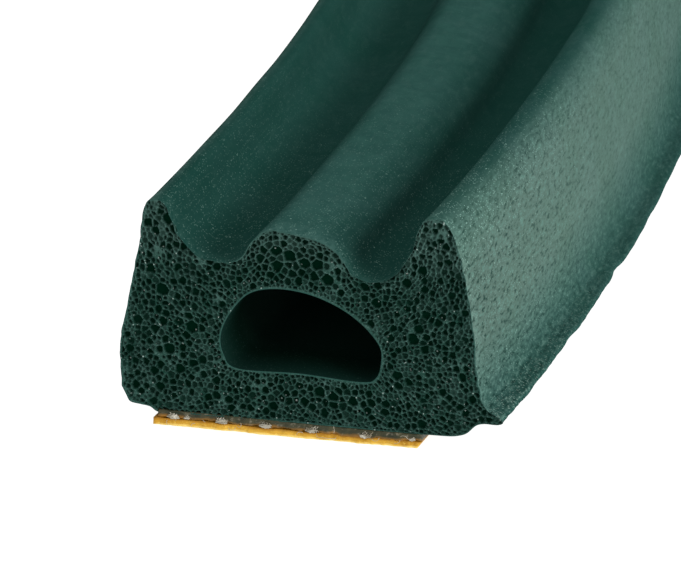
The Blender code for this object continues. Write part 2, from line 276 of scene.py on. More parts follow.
def route(distances, angles):
    """Heel edge through the tail, then round the coil.

    In the tail the heading is the sum of the bend, and the place the sum of the heading.
    In the coil the radius falls by one pitch a turn. Returns places, headings and turns.
    """
    fine = np.linspace(0, TAIL_LENGTH, ROUTE_STEPS)
    step = fine[1] - fine[0]
    middle = fine[:-1] + step / 2
    heading = np.concatenate([[0], np.cumsum(bend(middle)) * step])
    between = (heading[:-1] + heading[1:]) / 2
    x = np.concatenate([[0], np.cumsum(-np.sin(between)) * step]) - HALF_WIDTH
    y = np.concatenate([[0], np.cumsum(np.cos(between)) * step])
    share = ease(np.clip((distances - TWIST_START) / TWIST_LENGTH, 0, 1))
    tail = np.stack([np.interp(distances, fine, x), np.interp(distances, fine, y),
                     HEEL_LIFT * share - BACKING], axis=1)
    tail_heading = np.interp(distances, fine, heading)
    join = heading[-1]
    centre = np.array([x[-1], y[-1]]) - HEEL_RADIUS_IN_COIL * np.array([np.cos(join), np.sin(join)])
    radius = HEEL_RADIUS_IN_COIL - TURN_PITCH * angles / (2 * np.pi)
    around = join + angles
    spiral = np.stack([centre[0] + radius * np.cos(around), centre[1] + radius * np.sin(around),
                       np.full_like(angles, HEEL_LIFT - BACKING)], axis=1)
    lean = np.arctan(TURN_PITCH / (2 * np.pi) / radius)
    places = np.concatenate([tail, spiral])
    headings = np.concatenate([tail_heading, around + lean])
    turns = np.concatenate([share, np.ones_like(angles)]) * np.pi / 2
    return places + END, headings, turns


def carry(section, stations):
    """Carry section points (x, z) along stations: heel edge plus across and up, turned about it."""
    places, headings, turns = stations
    across = section[..., 0] + HALF_WIDTH
    up = section[..., 1] + BACKING
    right = np.stack([np.cos(headings), np.sin(headings), np.zeros_like(headings)], axis=1)
    lift = np.array([0.0, 0.0, 1.0])
    cos_turn, sin_turn = np.cos(turns)[:, None], np.sin(turns)[:, None]
    over = cos_turn * right + sin_turn * lift
    top = cos_turn * lift - sin_turn * right
    return (places[:, None, :] + across[..., None] * over[:, None, :]
            + up[..., None] * top[:, None, :])


def fine_distances():
    """Distances that crowd towards the free end: an exponential stretch of even shares."""
    share = np.linspace(0, 1, FINE_ROWS)
    spread = FINE_LENGTH * (np.exp(FINE_CROWDING * share) - 1) / (np.exp(FINE_CROWDING) - 1)
    return np.concatenate([[0.0, FIRST_STEP], spread[1:]])


def long_route(start):
    """Stations from a distance in the tail to the strip's inner end."""
    distances = np.concatenate([[start], np.arange(start + TAIL_STEP, TAIL_LENGTH, TAIL_STEP)])
    steps = int(SPIRAL_TURNS * 360 / SPIRAL_STEP_DEGREES) + 1
    angles = np.radians(np.arange(steps) * SPIRAL_STEP_DEGREES)
    return distances, angles


def grid_faces(rows, columns, start=0, closed=False):
    """Quads of a grid of points joined round each row, and from last row to first if closed."""
    i, j = np.meshgrid(np.arange(rows if closed else rows - 1), np.arange(columns), indexing="ij")
    k, below = (j + 1) % columns, (i + 1) % rows
    return start + np.stack([i * columns + j, i * columns + k,
                             below * columns + k, below * columns + j], axis=-1).reshape(-1, 4)


def tube_faces(count, rows, sides):
    """Quads of a number of tubes, one after another, and the faces that close their ends."""
    starts, ring = np.arange(count) * rows * sides, np.arange(sides)
    quads = np.concatenate([grid_faces(rows, sides, start) for start in starts])
    ends = [start + ring[::-1] for start in starts]
    return quads, ends + [start + (rows - 1) * sides + ring for start in starts]


def make_piece(name, points, quads, look, extra=()):
    """Write points in millimetres and quads into a mesh object that rides on the roll.

    A look is the piece's material, its slot (not used) and the nodes that it stands for.
    """
    material, slot, nodes = look
    mesh = bpy.data.meshes.new(name)
    flat = points.reshape(-1, 3) * MM
    mesh.vertices.add(len(flat))
    mesh.vertices.foreach_set("co", flat.ravel())
    corners = [np.asarray(quads).reshape(-1)] + [np.asarray(face) for face in extra]
    sizes = np.concatenate([np.full(len(quads), 4), [len(face) for face in extra]]).astype(int)
    mesh.loops.add(int(sizes.sum()))
    mesh.loops.foreach_set("vertex_index", np.concatenate(corners).astype(np.int32))
    mesh.polygons.add(len(sizes))
    starts = np.concatenate([[0], np.cumsum(sizes)[:-1]])
    mesh.polygons.foreach_set("loop_start", starts.astype(np.int32))
    mesh.polygons.foreach_set("use_smooth", np.ones(len(sizes), dtype=bool))
    mesh.update(calc_edges=True)
    mesh.validate()
    mesh.materials.append(material)
    piece = bpy.data.objects.new(name, mesh)
    bpy.context.scene.collection.objects.link(piece)
    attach(piece, BODY)
    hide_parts(*nodes)
    return piece


def set_attribute(piece, name, values, kind="FLOAT", field="value"):
    """Store a number or a vector a vertex for the material to read."""
    layer = piece.data.attributes.new(name, kind, "POINT")
    layer.data.foreach_set(field, np.ascontiguousarray(values, dtype=np.float32).ravel())


def set_places(piece, *stretches):
    """Store each vertex's place across, up and along the strip, for outlines carried along it."""
    places = [in_space(outline[:, 0], outline[:, 1], length[:, None]).reshape(-1, 3)
              for outline, length in stretches]
    set_attribute(piece, "strip", np.concatenate(places), "FLOAT_VECTOR", "vector")


class Nodes:
    """Short helper to add and join a material's nodes."""

    def __init__(self, name):
        self.material = bpy.data.materials.new(name)
        self.material.use_nodes = True
        self.tree = self.material.node_tree
        self.shader = self.tree.nodes["Principled BSDF"]

    def add(self, kind, inputs=None, **settings):
        """Add a node, set its settings, and link or set its inputs."""
        node = self.tree.nodes.new(kind)
        for key, value in settings.items():
            setattr(node, key, value)
        for key, value in (inputs or {}).items():
            self.put(node.inputs[key], value)
        return node

    def put(self, socket, value):
        """Link an output to a socket, or set its value. A colour is red, green and blue."""
        if isinstance(value, bpy.types.NodeSocket):
            self.tree.links.new(value, socket)
        else:
            socket.default_value = (*value, 1) if socket.type == "RGBA" else value

    def attribute(self, name, output="Fac"):
        """What the mesh stores under a name."""
        return self.add("ShaderNodeAttribute", attribute_name=name).outputs[output]

    def millimetres(self):
        """Object coordinates in millimetres."""
        inputs = {0: self.add("ShaderNodeTexCoord").outputs["Object"], "Scale": 1 / MM}
        return self.add("ShaderNodeVectorMath", inputs, operation="SCALE").outputs["Vector"]

    def noise(self, vector, scale, detail=2.0, rough=0.5):
        """Noise texture's value."""
        inputs = {"Vector": vector, "Scale": scale, "Detail": detail, "Roughness": rough}
        return self.add("ShaderNodeTexNoise", inputs).outputs["Fac"]

    def span(self, value, low, high, to_low=0.0, to_high=1.0):
        """Map a value's range to another, held at its ends."""
        inputs = {"Value": value, "From Min": low, "From Max": high, "To Min": to_low,
                  "To Max": to_high}
        return self.add("ShaderNodeMapRange", inputs, clamp=True).outputs["Result"]

    def math(self, operation, first, second):
        """Join two numbers."""
        return self.add("ShaderNodeMath", {0: first, 1: second}, operation=operation).outputs[0]

    def times(self, *factors):
        """Product of factors: a number, a socket, or a socket with its limits as a span."""
        factors = [self.span(*each) if isinstance(each, tuple) else each for each in factors]
        product = factors[0]
        for factor in factors[1:]:
            product = self.math("MULTIPLY", product, factor)
        return product

    def layers(self, tone, *coats):
        """Lay coats over a tone in turn: each is a colour and the factors of its share."""
        for colour, *factors in coats:
            inputs = {0: self.times(*factors), 6: tone, 7: colour}
            tone = self.add("ShaderNodeMix", inputs, data_type="RGBA").outputs[2]
        return tone

    def level(self, vector, scale, wander):
        """Height in a band's cut edge, made to wander by noise."""
        noise = self.times(self.noise(vector, scale, 3.0), wander)
        return self.math("ADD", self.attribute("high"), noise)

    def specks(self, vector, scale, size, keep):
        """Small round dots, kept at random: near a cell's middle, where its own number is high."""
        cell = self.add("ShaderNodeTexVoronoi", {"Vector": vector, "Scale": scale})
        number = self.add("ShaderNodeSeparateColor", {"Color": cell.outputs["Color"]})
        return self.times((cell.outputs["Distance"], size, size * 0.5),
                          (number.outputs[0], 1 - keep, 1 - keep + 0.02))

    def bump(self, height, strength, distance):
        """Bump from a height, in millimetres."""
        inputs = {"Height": height, "Strength": strength, "Distance": distance * MM}
        self.put(self.shader.inputs["Normal"], self.add("ShaderNodeBump", inputs).outputs["Normal"])

    def finish(self, tone, roughness, specular=0.5):
        """Give the shader its colour, roughness and specular level, and hand over the material."""
        for name, value in (("Base Color", tone), ("Roughness", roughness),
                            ("Specular IOR Level", specular)):
            self.put(self.shader.inputs[name], value)
        return self.material


def skin_material():
    """Dark green rubber skin by places in the section and along the strip.

    Pebbles are drawn out along the strip and strongest near the cut, their dips painted shade
    and their crowns painted highlight. Talc lies on it as specks of three sizes, with more of
    them on the right crest, where they are painted glints, and where the web was torn. Painted
    light also: a sheen on the middle rib and the flanks, shade in the grooves, at the flanks'
    foot and on the chamber wall, and a highlight on the right crest.
    """
    nodes = Nodes("foam_skin")
    strip = nodes.attribute("strip", "Vector")
    across, up, along = nodes.add("ShaderNodeSeparateXYZ", {0: strip}).outputs
    drawn = nodes.add("ShaderNodeVectorMath", {0: strip, 1: (1.0, 1.0, 0.38)},
                      operation="MULTIPLY").outputs["Vector"]
    flank, inside, torn = (nodes.attribute(name) for name in ("flank", "inside", "torn"))
    grain = nodes.times(flank, (along, 0.0, 14.0, 1.0, 0.35))
    pebbles = nodes.noise(drawn, 10.0, 3.0, 0.6)
    # Mask of the middle rib, for its painted sheen
    aside = nodes.math("ABSOLUTE", nodes.math("ADD", across, 0.2), 0.0)
    # Masks of the left and right grooves, for their painted shade
    left = nodes.times((across, -0.9, -1.6), (along, 0.0, 9.0, 0.62, 0.42))
    right = nodes.times((across, 0.8, 1.4, 0.0, 0.60), (across, 3.2, 3.0))
    # Chamber wall colour: painted shade, darkest just inside the cut and paler deeper in
    chamber = nodes.layers((0.0052, 0.0205, 0.0160), ((0.0030, 0.0150, 0.0100), (along, 0.0, 1.2)),
                           ((0.100, 0.270, 0.210), (along, 1.5, 16.0)))
    # Right crest mask: a painted highlight there, and its talc specks brightened as painted glints
    crest = nodes.times((across, 2.2, 2.7), (up, 3.9, 4.5))
    fewer = nodes.times((along, 0.0, 13.0, 1.3, 0.12), nodes.math("ADD", crest, 1.0),
                        (inside, 0.0, 1.0, 1.0, 0.15))
    faint = nodes.span(nodes.noise(strip, 6.0, 2.0), 0.36, 0.62, 0.25, 1.25)
    tone = nodes.layers(
        (0.0125, 0.0500, 0.0405),
        # Clouds, painted sheen on the middle rib that fades away from the cut, dark mottle, grey
        # patches and dust at the cut
        ((0.0195, 0.0590, 0.0515), (nodes.noise(strip, 0.55, 3.0), 0.32, 0.68)),
        ((0.034, 0.096, 0.082), (aside, 0.9, 0.5, 0.0, 0.48), (along, 14.0, 0.0, 0.8, 1.0)),
        ((0.0085, 0.0360, 0.0330), (nodes.noise(strip, 2.4, 4.0, 0.65), 0.36, 0.64, 0.0, 0.34)),
        ((0.0330, 0.0800, 0.0690), (nodes.noise(drawn, 5.5, 3.0, 0.6), 0.50, 0.68, 0.0, 0.30)),
        ((0.0560, 0.1250, 0.1080), (nodes.noise(strip, 7.0, 3.0), 0.35, 0.60),
         (along, 0.8, 0.0, 0.0, 0.55)),
        # Painted shade in the grooves, painted sheen on the flanks (partly talc bloom) that fades
        # away from the cut, and painted shade at their foot
        ((0.005, 0.034, 0.026), nodes.math("ADD", left, right), (flank, 0.2, 0.0)),
        ((0.365, 0.39, 0.32), flank, (up, 0.5, 2.4, 0.004, 0.096), (along, 3.0, 24.0, 1.08, 0.75),
         (up, 5.1, 4.4, 0.6, 1.0)),
        ((0.005, 0.026, 0.021), flank, (up, 1.3, 0.5, 0.0, 0.22)),
        # Painted shade in the pebbles' dips and painted highlight on their crowns, the chamber wall
        # painted dark as shade near the cut and paler deeper in, and a painted highlight on the lit
        # right crest
        ((0.005, 0.020, 0.016), (pebbles, 0.48, 0.33, 0.0, 0.9), grain),
        ((0.066, 0.134, 0.112), (pebbles, 0.53, 0.70, 0.0, 0.8), grain),
        (chamber, inside),
        ((0.060, 0.140, 0.105), crest, (along, 6.0, 1.0, 0.0, 0.14)),
        # Talc in three sizes, stronger on the right crest as painted glints, and flecks on the torn
        # web
        *(((0.25, 0.42, 0.36), nodes.specks(strip, scale, size, keep), fewer, faint, bright)
          for scale, size, keep, bright in ((17.0, 0.32, 0.60, 0.26), (9.0, 0.20, 0.30, 0.32),
                                            (4.5, 0.11, 0.20, 0.60))),
        ((0.30, 0.42, 0.36), nodes.specks(strip, 13.0, 0.36, 0.75), torn, 0.65))
    fine = nodes.times(nodes.noise(drawn, 24.0, 2.0), 0.4)
    height = nodes.times(nodes.math("ADD", pebbles, fine), nodes.math("ADD", grain, 0.25))
    nodes.bump(height, 0.5, 0.04)
    return nodes.finish(tone, 0.6, 0.0)


def sponge_material():
    """Cut sponge: pale cell walls, and cells darkened near-black by the mesh's own cell depth, partly
    their darker inside and partly painted shade, with painted glints as bright specks.
    """
    nodes = Nodes("cut_sponge")
    where = nodes.millimetres()
    height = nodes.add("ShaderNodeSeparateXYZ", {0: where}).outputs[2]
    tone = nodes.layers(
        (0.011, 0.043, 0.031),
        # Clouds, dark and pale spots on the walls, the crests and the skin's rim
        ((0.047, 0.101, 0.086), (nodes.noise(where, 2.6, 4.0, 0.65), 0.34, 0.66)),
        ((0.010, 0.036, 0.027), (nodes.noise(where, 16.0, 2.0), 0.38, 0.62, 0.0, 0.75)),
        ((0.095, 0.165, 0.150), (nodes.noise(where, 34.0, 1.0), 0.60, 0.72, 0.0, 0.7)),
        ((0.062, 0.120, 0.104), (height, 4.1, 4.8, 0.0, 0.45)),
        ((0.024, 0.072, 0.060), nodes.attribute("rim")),
        # Cell floors darkened by depth, partly their darker inside and partly painted shade, and
        # bright specks of two sizes as painted glints
        ((0.0006, 0.0118, 0.0060), nodes.attribute("cell")),
        ((0.42, 0.52, 0.48), nodes.specks(where, 9.0, 0.22, 0.20), 0.6),
        ((0.55, 0.60, 0.56), nodes.specks(where, 3.2, 0.10, 0.16), 0.9))
    nodes.bump(nodes.noise(where, 26.0, 2.0), 0.4, 0.02)
    return nodes.finish(tone, 0.7, 0.0)


def tape_material():
    """Grey-brown adhesive film with pale patches, glowing orange low down at its cut edge."""
    nodes = Nodes("adhesive_film")
    where = nodes.millimetres()
    level = nodes.level(where, 2.2, 0.9)
    tone = nodes.layers(
        (0.012, 0.018, 0.007),
        ((0.054, 0.049, 0.020), (nodes.noise(where, 3.5, 4.0, 0.6), 0.3, 0.7)),
        ((0.24, 0.21, 0.15), (nodes.noise(where, 9.0, 3.0), 0.56, 0.70, 0.0, 0.5)),
        ((0.36, 0.155, 0.012), (level, 0.85, 0.35, 0.0, 0.85)))
    nodes.bump(nodes.noise(where, 12.0, 3.0), 0.4, 0.03)
    return nodes.finish(tone, 0.45, 0.3)


def thread_material():
    """White glassy thread."""
    nodes = Nodes("white_thread")
    clouds = nodes.noise(nodes.millimetres(), 6.0, 2.0)
    return nodes.finish(nodes.layers((0.20, 0.17, 0.11), ((0.52, 0.50, 0.42), (clouds, 0.3, 0.7))),
                        0.4)


def liner_material():
    """Golden paper with a fibrous mottle, painted shade at the top of its cut edge under the foam and
    a painted glow of light through the paper at its foot.
    """
    nodes = Nodes("liner_paper_gold")
    where = nodes.millimetres()
    level = nodes.level(where, 2.6, 0.8)
    tone = nodes.layers(
        (0.41, 0.195, 0.009),
        ((0.62, 0.350, 0.034), (nodes.noise(where, 2.2, 5.0, 0.6), 0.35, 0.65)),
        ((0.88, 0.62, 0.12), (nodes.noise(where, 22.0, 3.0), 0.55, 0.75, 0.0, 0.5)),
        # Painted shade at the top of the cut edge, under the foam
        ((0.30, 0.125, 0.006), (level, 0.95, 1.35, 0.0, 0.85)),
        # Painted glow at the foot of the cut edge, light through the paper
        ((0.88, 0.66, 0.19), (level, 0.75, 0.45, 0.0, 0.8)))
    nodes.bump(nodes.noise(where, 18.0, 4.0, 0.6), 0.35, 0.03)
    return nodes.finish(tone, 0.5, 0.2)


def floor_material():
    """Plain white floor."""
    nodes = Nodes("white_floor")
    nodes.put(nodes.shader.inputs["Emission Color"], (1, 1, 1))
    nodes.shader.inputs["Emission Strength"].default_value = FLOOR_GLOW
    return nodes.finish((0.30, 0.30, 0.30), 0.9, 0.0)


def section_normals(section):
    """Outward unit normals of a closed section that runs anticlockwise seen from the front."""
    along = np.roll(section, -1, axis=-2) - np.roll(section, 1, axis=-2)
    along = along / np.maximum(np.linalg.norm(along, axis=-1, keepdims=True), 1e-9)
    return np.stack([along[..., 1], -along[..., 0]], axis=-1)


def ragged_web(section, distances, weight):
    """Move the web's tip in and out along the strip: two scales of noise and one torn nick."""
    place = in_space(distances)
    nick = NICK_DEPTH * np.exp(-((distances - NICK_PLACE) / NICK_SPREAD) ** 2)
    coarse = roughness(place, WEB_NOISE) - nick
    fine = noise(place / 0.2, 33) * 0.014 * (0.35 + np.exp(-distances / 5.0))
    out = (coarse + fine) * np.clip(distances / 0.4, 0, 1)
    rise = noise(place / 0.9, 34) * 0.03
    section = section.copy()
    section[..., 0] += weight[None, :] * out[:, None]
    section[..., 1] += weight[None, :] * rise[:, None]
    return section


def skin_relief(section, distances):
    """Height of the skin's gentle swells: noise that is longer along the strip."""
    where = in_space(section[..., 0], section[..., 1], distances[:, None])
    swell = noise(where / np.array([0.9, 0.9, 2.4]), 12) * 0.020
    return swell * np.clip(distances / 0.5, 0, 1)[:, None]


def web_weight(section):
    """Share of the web's movement that each outline point takes: a round fall-off at the tip."""
    away = np.linalg.norm(section - np.array(WEB_TIP), axis=1)
    return np.exp(-(away / WEB_SPREAD) ** 2)


def stations_behind(depths, free):
    """Stations at given depths behind the cut of the free end, or of the inner one."""
    if free:
        return route(depths, np.zeros(0))
    return route(np.zeros(0), SPIRAL_TURNS * 2 * np.pi - depths / INNER_HEEL_RADIUS)


def shell_back(depth):
    """Depths of a thin pipe's inner side, from its far end back to the cut."""
    return np.concatenate([np.linspace(depth, TURN_BACK, TURN_BACK_ROWS), [LIP_DEPTH]])


def thin_pipe(section, outline, depths, thickness, sign, free):
    """Points of a thin closed pipe: its face along the depths, then its inner side back to a lip."""
    inward = section_normals(outline) * sign
    back = shell_back(depths[-1])
    deep = np.full(len(back), thickness)
    deep[-1] = LIP_THICKNESS
    rings = outline[None] - inward[None] * deep[:, None, None]
    return carry(np.concatenate([section, rings]),
                 stations_behind(np.concatenate([depths, back]), free))


def strip_end(name, look, distances, around, chamber_around, free):
    """Skin of the stretch behind a cut and the chamber's wall, as two thin closed pipes."""
    outline = closed_curve(FOAM_POINTS, even_places(FOAM_POINTS, around))
    near = np.exp(-(distances / ROUGH_REACH) ** 2)[:, None, None]
    walls = outline[None] * (1 - near) + rough_outline(outline)[None] * near
    walls = ragged_web(walls, distances, web_weight(outline))
    fade = np.clip(distances / 0.15, 0, 1)[:, None]
    walls = walls + section_normals(walls) * (skin_relief(walls, distances) * fade)[..., None]
    outer = thin_pipe(walls, outline, distances, SKIN_THICKNESS, 1, free)
    hollow = closed_curve(CHAMBER_POINTS, even_places(CHAMBER_POINTS, chamber_around))
    depths = np.concatenate([[0.0, FIRST_STEP], np.linspace(0.2, distances[-1], CHAMBER_ROWS)])
    pipe = np.broadcast_to(hollow, (len(depths),) + hollow.shape)
    inner = thin_pipe(pipe, hollow, depths, WALL_THICKNESS, -1, free)
    start = len(outer) * around
    quads = np.concatenate([grid_faces(len(outer), around, closed=True)[:, ::-1],
                            grid_faces(len(inner), chamber_around, start, closed=True)])
    quads = quads if free else quads[:, ::-1]
    points = np.concatenate([outer.reshape(-1, 3), inner.reshape(-1, 3)])
    piece = make_piece(name, points, quads, look)
    length, depth = (np.concatenate([part, shell_back(part[-1])]) for part in (distances, depths))
    set_places(piece, (outline, length), (hollow, depth))
    torn = web_weight(outline) ** 0.35 * np.exp(-length / TORN_REACH)[:, None]
    # inside marks the chamber wall, darkened by the skin material as painted shade; flank carries the
    # flanks' painted sheen and foot shade as well as their pebbles
    for mask, on_skin, on_wall in (("inside", 0.0, 1.0), ("torn", torn.ravel(), 0.0),
                                   ("flank", np.tile(flank_share(outline), len(outer)), 0.0)):
        values = np.full(len(points), on_wall)
        values[:start] = on_skin
        set_attribute(piece, mask, values)


def rough_outline(outline):
    """Outline of the cut as opened cells leave it: moved along its normal by fine noise."""
    above = np.clip((outline[:, 1] - 0.3) / 0.3, 0, 1)
    move = roughness(in_space(outline[:, 0], outline[:, 1]), RIM_NOISE) * above
    return outline + section_normals(outline) * move[:, None]


def flank_share(outline):
    """One on the two outer flanks and nought on the ribs and grooves, with an eased edge."""
    return ease(np.clip((np.abs(outline[:, 0]) - FLANK_EDGE) / FLANK_EASE, 0, 1))


def even_sheet(outer, inner, rings):
    """Grid between two facing curves, evened out by the elliptic grid rule.

    Each inner point moves to the mean of its neighbours, those along a ring weighted by the
    squared spacing across it and the others by that along it, less the share of the diagonals
    that the two spacings' product gives.
    """
    share = np.linspace(0, 1, rings)[:, None, None]
    sheet = outer[None] * (1 - share) + inner[None] * share
    for _ in range(EVENING_STEPS):
        ahead, behind = np.roll(sheet, -1, axis=1), np.roll(sheet, 1, axis=1)
        along = (ahead - behind)[1:-1] / 2
        across = (sheet[2:] - sheet[:-2]) / 2
        a = np.sum(across ** 2, axis=-1, keepdims=True)
        b = np.sum(along * across, axis=-1, keepdims=True)
        c = np.sum(along ** 2, axis=-1, keepdims=True)
        diagonal = ahead[2:] - ahead[:-2] - behind[2:] + behind[:-2]
        sheet[1:-1] = (a * (ahead + behind)[1:-1] + c * (sheet[2:] + sheet[:-2])
                       - b / 2 * diagonal) / (2 * (a + c) + 1e-9)
    return sheet


def even_line(line):
    """The same polyline with its points at equal steps of its length."""
    length = lengths_along(line)
    steps = np.linspace(0, length[-1], len(line))
    return np.stack([np.interp(steps, length, part) for part in line.T], axis=1)


def face_sheet(around, rings):
    """Fine grid between outline and chamber: a coarse even one, read between its points."""
    few, rows = around // COARSER, max(rings // COARSER, COARSE_RINGS)
    places = even_places(FOAM_POINTS, few)
    coarse = even_sheet(closed_curve(FOAM_POINTS, places),
                        closed_curve(CHAMBER_POINTS, facing_places(places)), rows)
    coarse = np.stack([even_line(coarse[:, column]) for column in range(few)], axis=1)
    closed = np.concatenate([coarse, coarse[:, :1]], axis=1)
    down = np.linspace(0, rows - 1, rings)
    over = np.arange(around) * few / around
    i, j = np.minimum(down.astype(int), rows - 2), over.astype(int)
    u, v = (down - i)[:, None, None], (over - j)[None, :, None]
    upper = closed[i][:, j] * (1 - v) + closed[i][:, j + 1] * v
    lower = closed[i + 1][:, j] * (1 - v) + closed[i + 1][:, j + 1] * v
    sheet = upper * (1 - u) + lower * u
    places = np.interp(over, np.arange(few + 1), np.concatenate([places, [len(FOAM_POINTS)]]))
    share = np.linspace(0, 1, rings)[:, None, None]
    outline = rough_outline(closed_curve(FOAM_POINTS, places))
    hollow = closed_curve(CHAMBER_POINTS, facing_places(places))
    return sheet + (outline - sheet[0]) * (1 - share) + (hollow - sheet[-1]) * share


def cell_seeds(sheet, edge, rng):
    """Middles, radii and darkness of the sponge's cells: bubbles kept where they still fit. The
    darkness sets how deep a cell sinks and how dark its painted shade is.

    Bubbles are large in the middle rib and under the chamber, and small beside the skin. A
    large one is more likely to be dark.
    """
    down, over = np.gradient(sheet, axis=0), np.gradient(sheet, axis=1)
    area = np.abs(down[..., 0] * over[..., 1] - down[..., 1] * over[..., 0]).ravel()
    pick = rng.choice(len(area), CELL_TRIES, p=area / area.sum())
    tries = sheet.reshape(-1, 2)[pick] + rng.uniform(-0.01, 0.01, (CELL_TRIES, 2))
    rib = np.exp(-((tries[:, 0] + 0.05) / 1.0) ** 2 - ((tries[:, 1] - 4.0) / 0.45) ** 2)
    below = np.exp(-((tries[:, 0] - 0.3) / 1.4) ** 2 - ((tries[:, 1] - 0.75) / 0.33) ** 2)
    near = np.clip(edge.ravel()[pick] / 0.3, 0, 1)
    side = np.clip((-1.6 - tries[:, 0]) / 1.0, 0, 1)
    sizes = CELL_RADIUS + RIB_MORE * rib + BASE_MORE * below + SIDE_MORE * side
    sizes = sizes * rng.lognormal(0.0, CELL_SPREAD, CELL_TRIES) * (0.62 + 0.38 * near)
    sizes = np.clip(sizes, *CELL_LIMITS)
    kept = np.zeros((CELL_TRIES, 2))
    radii = np.zeros(CELL_TRIES)
    count = 0
    for place, size in zip(tries, sizes):
        away = kept[:count] - place
        reach = CELL_CLOSENESS * (radii[:count] + size)
        if not np.any(np.einsum("ij,ij->i", away, away) < reach ** 2):
            kept[count], radii[count] = place, size
            count += 1
    kept, radii = kept[:count], radii[:count]
    chance = rng.random(count) + 0.9 * (radii / 0.07 - 1)
    return kept, radii, np.interp(chance, CELL_CHANCES, CELL_SHADES)


def cell_depth(points, edge, seeds, radii, dark):
    """Depth share and darkness of the cells at each point, for their sinking and painted shade.

    The nearest two bubbles are found by distance less radius. Half the difference between
    the two is the distance to the wall between them, and the cell falls away from there.
    """
    near = np.empty(len(points))
    tone = np.empty(len(points))
    flat = in_space(points[:, 0], points[:, 1])
    solid = np.clip(noise(flat / 0.5, 24) * 1.6 - 0.3, 0, 1)
    tile = np.floor(points / TILE).astype(int) @ np.array([1000, 1])
    for number in np.unique(tile):
        here = np.flatnonzero(tile == number)
        block = points[here]
        low, high = block.min(axis=0) - TILE, block.max(axis=0) + TILE
        close = np.flatnonzero(np.all((seeds > low) & (seeds < high), axis=1))
        away = np.linalg.norm(block[:, None] - seeds[close][None], axis=2) - radii[close][None]
        first = np.argmin(away, axis=1)
        row = np.arange(len(block))
        closest = away[row, first]
        away[row, first] = np.inf
        tone[here] = dark[close][first]
        reach = 0.02 + 0.035 * tone[here] - 0.045 * solid[here]
        near[here] = np.minimum((away.min(axis=1) - closest) / 2, reach - closest)
    wall = CELL_WALL + WALL_SWING * noise(flat / 0.12, 21)
    depth = ease(np.clip((near - wall) / WALL_SLOPE, 0, 1))
    return depth * np.clip((edge - SOLID_EDGE) / SOLID_EDGE, 0, 1), tone


def cut_face(name, look, around, rings, seed, free):
    """Cut end of the sponge: a ring-shaped grid from the outline to the chamber.

    Each cell sinks into the strip by its depth, and a plain second sheet closes the piece.
    """
    sheet = face_sheet(around, rings)
    flat = in_space(sheet[..., 0], sheet[..., 1])
    reach = np.linalg.norm(np.diff(sheet, axis=0), axis=2)
    outer = np.concatenate([np.zeros((1, around)), np.cumsum(reach, axis=0)])
    inner = outer[-1] - outer
    edge = np.minimum(outer, np.maximum(inner - 0.02, 0.0))
    cells = cell_seeds(sheet, edge, np.random.default_rng(seed))
    depth, tone = (values.reshape(rings, around)
                   for values in cell_depth(sheet.reshape(-1, 2), edge.ravel(), *cells))
    swells = roughness(flat, FACE_NOISE) * np.clip(edge / 0.05, 0, 1)
    sink = depth * (CELL_SINK + DARK_SINK * tone) + swells
    rims = sheet[np.linspace(rings - 1, 0, BACK_RINGS).astype(int)]
    rims[0] += section_normals(sheet[-1]) * FACE_INSET
    rims[-1] -= section_normals(sheet[0]) * FACE_INSET
    back = np.full(rims.shape[:2], FACE_DEPTH)
    points = np.concatenate([carry_sheet(sheet, sink, free), carry_sheet(rims, back, free)])
    quads = grid_faces(len(points), around, closed=True)
    quads = quads if free else quads[:, ::-1]
    piece = make_piece(name, points, quads, look)
    worn = np.clip(0.75 + 0.5 * noise(flat / 0.22, 27), 0.25, 1)
    lip = np.clip(1 - (inner - 0.015) / 0.03, 0, 1)
    rim = (np.clip(1 - outer / 0.06, 0, 1) * 0.8 + lip) * worn
    # The cell mask is the cells' painted shade, with their darker inside; the rim mask is the skin's
    # edge
    for mask, values in (("cell", depth * (0.25 + 0.75 * tone)), ("rim", rim)):
        set_attribute(piece, mask, np.concatenate([values, np.zeros_like(back)]))


def carry_sheet(sheet, sink, free):
    """Place a flat sheet of section points at a cut, each sunk along the strip."""
    station = stations_behind(np.zeros(1), free)
    placed = carry(sheet.reshape(1, -1, 2), station)[0].reshape(sheet.shape[:2] + (3,))
    heading = station[1][0]
    into = np.array([-np.sin(heading), np.cos(heading), 0.0]) * (1 if free else -1)
    return placed + sink[..., None] * into


def strip_length(distances, angles):
    """Length along the strip, for its noise: along the tail, then by the coil's mean radius."""
    return np.concatenate([distances, TAIL_LENGTH + angles * MEAN_COIL_RADIUS])


def strip_body(look):
    """The rest of the strip between its two ends: tail and spiral, closed plainly."""
    count = 2 * len(FOAM_POINTS)
    outline = closed_curve(FOAM_POINTS, np.arange(count) / 2)
    distances, angles = long_route(FINE_LENGTH)
    angles = angles - INNER_LENGTH / INNER_HEEL_RADIUS
    angles = np.append([0.0], angles[angles > np.radians(SPIRAL_STEP_DEGREES) / 2])
    length = strip_length(distances, angles)
    rows = len(length)
    walls = ragged_web(np.broadcast_to(outline, (rows,) + outline.shape), length,
                       web_weight(outline))
    points = carry(walls, route(distances, angles))
    quads, ends = tube_faces(1, rows, count)
    piece = make_piece("strip_body", points, quads[:, ::-1], look, [end[::-1] for end in ends])
    set_attribute(piece, "flank", np.tile(flank_share(outline), rows))
    set_places(piece, (outline, length))


